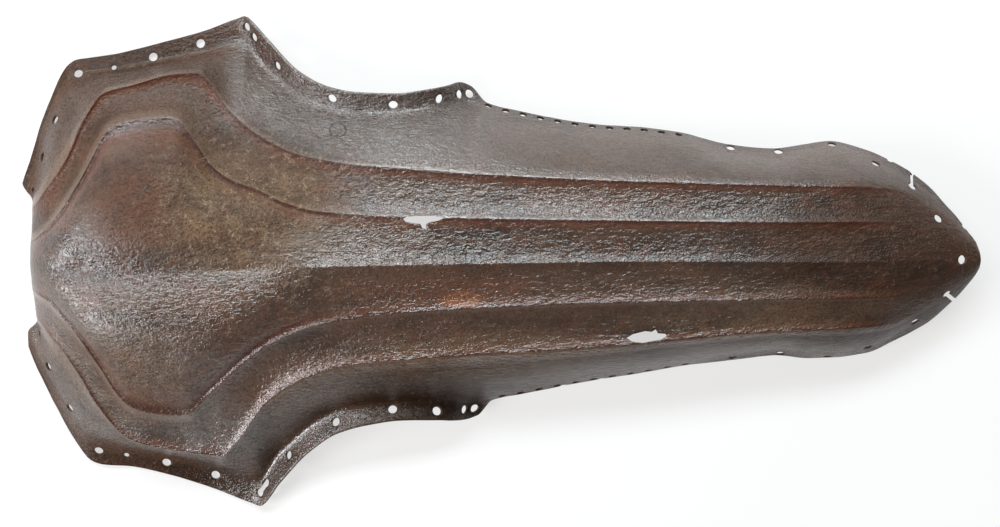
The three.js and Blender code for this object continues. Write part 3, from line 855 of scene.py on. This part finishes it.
def rail_masks(paint):
    """Masks that follow the rails, from the UV map. Rail counts the rails out from the crest, share is
    the way across the span, and the map's Y is the place along the plate."""
    split = paint.node("ShaderNodeSeparateXYZ")
    paint.join(paint.node("ShaderNodeUVMap", uv_map="rails").outputs["UV"], split.inputs[0])
    across, along = split.outputs["X"], split.outputs["Y"]
    rail = paint.math("ABSOLUTE", paint.times(paint.math("SUBTRACT", across, 0.5), MAP_RAILS), 0.0)
    share = paint.math("FRACT", rail, 0.0)
    panels = paint.ramp(rail, 1.98, 2.02, 1.0, 0.0)
    poll = paint.ramp(along, 0.15, 0.24, 1.0, 0.0)
    tail = paint.ramp(along, 0.87, 0.94, 1.0, 0.0)
    inside = paint.times(paint.ramp(share, 0.72, 0.92), panels)
    wide = paint.times(paint.ramp(share, 0.10, 0.30, 1.0, 0.0), poll)
    outside = paint.most(wide, paint.ramp(share, 0.02, 0.10, 0.7, 0.0))
    outside = paint.times(outside, paint.ramp(rail, 0.98, 1.02))
    flank = paint.times(paint.ramp(rail, 2.05, 2.2), paint.ramp(rail, 2.8, 3.0, 1.0, 0.0))
    # The right flank, facing away from the window: painted shade in the colour, and a duller gloss
    shaded_side = paint.times(paint.ramp(rail, 2.0, 2.3), paint.ramp(across, 0.4, 0.6, 1.0, 0.0))
    far = paint.times(paint.ramp(along, 0.20, 0.27, 1.0, 0.0), paint.ramp(rail, 0.9, 1.1))
    return SimpleNamespace(
        inside=paint.times(inside, tail),
        outside=paint.times(outside, tail),
        crease=paint.times(paint.ramp(share, 0.90, 0.975), paint.times(panels, tail)),
        flank=flank,
        smooth=paint.times(flank, paint.ramp(along, 0.42, 0.60)),
        flange=paint.ramp(rail, 2.97, 3.03),
        shaded_side=paint.times(shaded_side, paint.ramp(along, 0.28, 0.42)),
        brow_band=paint.times(far, paint.ramp(across, 0.45, 0.55)),
        poll_rim=paint.times(poll, paint.ramp(rail, 2.6, 2.9)),
    )


def cracked_rings(paint, place, ragged):
    """The rings' lines, wobbled and broken off here and there."""
    wobbled = paint.wobble(place, 150, 0.0036)
    rings = 0.0
    for x, y, radius in RINGS:
        rings = paint.most(paint.ring(wobbled, (x, y), radius), rings)
    return paint.times(rings, paint.ramp(ragged, 0.36, 0.46))


def skin_colour(paint, place, masks, ragged, rings):
    """Brown skin under red blotches, grey on the flanks that is partly a painted reflection of the table,
    red just inside each ridge and painted light in tan just outside it, painted shade on the flange and
    the right flank.
    Stains, patches of painted sheen, flecks, specks, painted shade in the creases, pale curls and rings
    follow."""
    cloud = paint.noise(paint.stretch(place, DRAWN), *CLOUD)
    blotch = paint.noise(place, *BLOTCH)
    fleck = paint.noise(place, *FLECK)
    # Grey on the flanks, partly greyer skin and partly a painted reflection of the pale table
    greyed = paint.times(masks.flank, paint.ramp(blotch, 0.30, 0.62, 0.2, 0.75))
    reddened = paint.times(masks.inside, paint.ramp(fleck, 0.30, 0.60, 0.3, 0.9))
    # Painted shade on the flange and on the right flank
    shade = paint.most(paint.times(masks.flange, 0.45), paint.times(masks.shaded_side, 0.80))
    base = paint.mix(paint.ramp(cloud, 0.30, 0.62), DARK_SKIN_AND_SHADE, BROWN_SKIN)
    base = paint.mix(paint.ramp(blotch, 0.48, 0.72, 0.0, 0.6), base, RED_RUST)
    base = paint.mix(greyed, base, GREY_AND_REFLECTION)
    # Painted light: tan on the outward slope just outside each ridge
    base = paint.mix(paint.times(masks.outside, 0.65), base, TAN_SKIN_AND_LIGHT)
    base = paint.mix(reddened, base, RED_RUST)
    base = paint.mix(shade, base, DARK_SKIN_AND_SHADE)
    # Stains and a darker nose, with patches of painted sheen
    for colour, middle, size, strength in STAINS_AND_SHEEN:
        patch = paint.times(paint.spot(place, middle, size), paint.ramp(ragged, 0.36, 0.64, 0.25, 1.0))
        base = paint.mix(paint.times(patch, strength), base, colour)
    base = paint.mix(paint.ramp(fleck, 0.54, 0.72, 0.0, 0.55), base, TAN_SKIN_AND_LIGHT)
    base = paint.mix(paint.ramp(paint.noise(place, *SPECK), 0.48, 0.66, 0.0, 0.65), base, DARK_SKIN_AND_SHADE)
    # Painted shade: a dark line in the groove just inside each ridge
    base = paint.mix(paint.times(masks.crease, 0.85), base, CREASE_SHADE)
    curl = paint.ramp(paint.off(paint.noise(place, *CURLS), 0.5), 0.0, 0.035, 1.0, 0.0)
    curl = paint.times(curl, paint.ramp(fleck, 0.50, 0.62))
    curl = paint.times(curl, paint.spots(place, BLOOM))
    base = paint.mix(paint.times(curl, 0.7), base, PALE_FLECK)
    return paint.mix(paint.times(rings, 0.8), base, DARK_SKIN_AND_SHADE)


def set_gloss(paint, place, masks):
    """Roughness from a fine noise, and a sheen that fades where the skin is matt or on the right flank,
    the side given painted shade.
    """
    dull = paint.spots(place, DULL)
    rough = paint.ramp(paint.noise(place, *GLOSS), 0.3, 0.7, 0.17, 0.27)
    rough = paint.math("ADD", rough, paint.times(dull, 0.20))
    dull = paint.most(dull, paint.most(masks.shaded_side, paint.times(masks.smooth, 0.5)))
    dull = paint.most(dull, paint.times(masks.brow_band, 0.8))
    dull = paint.most(dull, masks.poll_rim)
    paint.join(rough, paint.shader.inputs["Roughness"])
    paint.join(paint.ramp(dull, 0.0, 1.0, 0.55, 0.08), paint.shader.inputs["Specular IOR Level"])
    paint.shader.inputs["Metallic"].default_value = 0.0
    paint.shader.inputs["IOR"].default_value = 1.9


def relief_normal(paint, place, masks, rings):
    """Lumps, pits and drawn wrinkles less the rings' cracks, coarser in one place and calm outside the
    ridges and on the flanks towards the nose."""
    cells = paint.node("ShaderNodeTexVoronoi", feature="SMOOTH_F1")
    cells.inputs["Scale"].default_value = LUMPS
    cells.inputs["Smoothness"].default_value = 0.4
    paint.join(paint.wobble(place, 200, 0.006), cells.inputs["Vector"])
    lumps = paint.ramp(cells.outputs["Distance"], 0.10, 0.80, 1.0, 0.0)
    pits = paint.noise(place, *PITS)
    wrinkles = paint.noise(paint.stretch(place, DRAWN), *WRINKLES)
    height = paint.math("ADD", paint.times(pits, PIT_DEPTH), paint.times(lumps, LUMP_DEPTH))
    height = paint.math("ADD", height, paint.times(wrinkles, WRINKLE_DEPTH))
    height = paint.math("SUBTRACT", height, paint.times(rings, CRACK_DEPTH))
    coarse = paint.spots(place, COARSE)
    height = paint.times(height, paint.ramp(coarse, 0.0, 1.0, 1.0, COARSENESS))
    calm = paint.most(paint.times(masks.outside, 0.8), paint.times(masks.smooth, 0.6))
    bump = paint.node("ShaderNodeBump")
    bump.inputs["Distance"].default_value = BUMP_DISTANCE
    paint.join(paint.ramp(calm, 0.0, 1.0, 1.0, 0.15), bump.inputs["Strength"])
    paint.join(height, bump.inputs["Height"])
    return bump.outputs["Normal"]


def rusted_iron():
    """Finely pitted iron under a brown oxide skin that catches the light in short wavy glints."""
    paint = Paint("rusted_iron")
    place = paint.node("ShaderNodeTexCoord").outputs["Object"]
    masks = rail_masks(paint)
    ragged = paint.noise(place, *RAGGED)
    rings = cracked_rings(paint, place, ragged)
    paint.join(skin_colour(paint, place, masks, ragged, rings), paint.shader.inputs["Base Color"])
    set_gloss(paint, place, masks)
    paint.join(relief_normal(paint, place, masks, rings), paint.shader.inputs["Normal"])
    return paint.material


# The table: how far it reaches, its colour, and the glow that the room's light gives it
TABLE_REACH = 3
TABLE_COLOUR = (0.38, 0.365, 0.36, 1)
TABLE_GLOW = (0.97, 0.975, 0.97, 1)
TABLE_GLOW_STRENGTH = 0.66

# Light from the room, and the lights: name, place, aim, size, power and colour
ROOM_COLOUR = (1.0, 0.91, 0.83, 1)
ROOM_STRENGTH = 0.15
LIGHTS = (
    ("window", (-0.35, 1.30, 1.50), (-0.05, 0, 0), (2.4, 0.42), 42, (0.84, 0.95, 1.0)),
    ("sill", (-0.3, 1.80, 0.60), (0, 0, 0.03), (2.4, 0.5), 11, (0.84, 0.95, 1.0)),
    ("side_window", (-1.50, -0.50, 1.0), (-0.2, 0, 0), (0.9, 0.7), 23, (0.95, 0.97, 1.0)),
)


def table_top():
    """A wide pale table, so that its far edges never show."""
    corners = [(-1, -1, 0), (1, -1, 0), (1, 1, 0), (-1, 1, 0)]
    verts = np.array(corners, float) * TABLE_REACH
    table = make_object("table_top", verts, np.array([[0, 1, 2, 3]]))
    paint = Paint("white_paper")
    paint.shader.inputs["Base Color"].default_value = TABLE_COLOUR
    paint.shader.inputs["Roughness"].default_value = 0.7
    paint.shader.inputs["Emission Color"].default_value = TABLE_GLOW
    paint.shader.inputs["Emission Strength"].default_value = TABLE_GLOW_STRENGTH
    table.data.materials.append(paint.material)


def area_light(name, place, aim, size, power, colour):
    light = bpy.data.lights.new(name, "AREA")
    light.shape = "RECTANGLE"
    light.size, light.size_y = size
    light.energy = power
    light.color = colour
    obj = bpy.data.objects.new(name, light)
    bpy.context.scene.collection.objects.link(obj)
    obj.location = place
    obj.rotation_euler = (Vector(aim) - Vector(place)).to_track_quat("-Z", "Y").to_euler()


def set_lights():
    world = bpy.data.worlds.new("room")
    bpy.context.scene.world = world
    world.use_nodes = True
    background = world.node_tree.nodes["Background"]
    background.inputs["Color"].default_value = ROOM_COLOUR
    background.inputs["Strength"].default_value = ROOM_STRENGTH
    for light in LIGHTS:
        area_light(*light)


def set_camera():
    """Camera leaning towards +Y and turned by its roll, looking down at its target."""
    lean, pitch, roll = CAMERA_LEAN, CAMERA_PITCH, CAMERA_ROLL
    back = Vector((
        math.sin(pitch), math.sin(lean) * math.cos(pitch), math.cos(lean) * math.cos(pitch),
    )).normalized()
    level = Vector((0, 1, 0)).cross(back).normalized()
    upright = back.cross(level)
    right = level * math.cos(roll) - upright * math.sin(roll)
    up = upright * math.cos(roll) + level * math.sin(roll)
    data = bpy.data.cameras.new("camera")
    data.lens = CAMERA_LENS
    data.sensor_width = 36
    camera = bpy.data.objects.new("camera", data)
    bpy.context.scene.collection.objects.link(camera)
    turn = Matrix((right, up, back)).transposed().to_4x4()
    camera.matrix_world = Matrix.Translation(CAMERA_TARGET + back * CAMERA_REACH) @ turn
    bpy.context.scene.camera = camera


set_camera()
plate = make_plate()
plate.data.materials.clear()
plate.data.materials.append(rusted_iron())
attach(plate, "root")
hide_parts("plate")
table_top()
set_lights()
bpy.context.scene.view_settings.view_transform = "Standard"
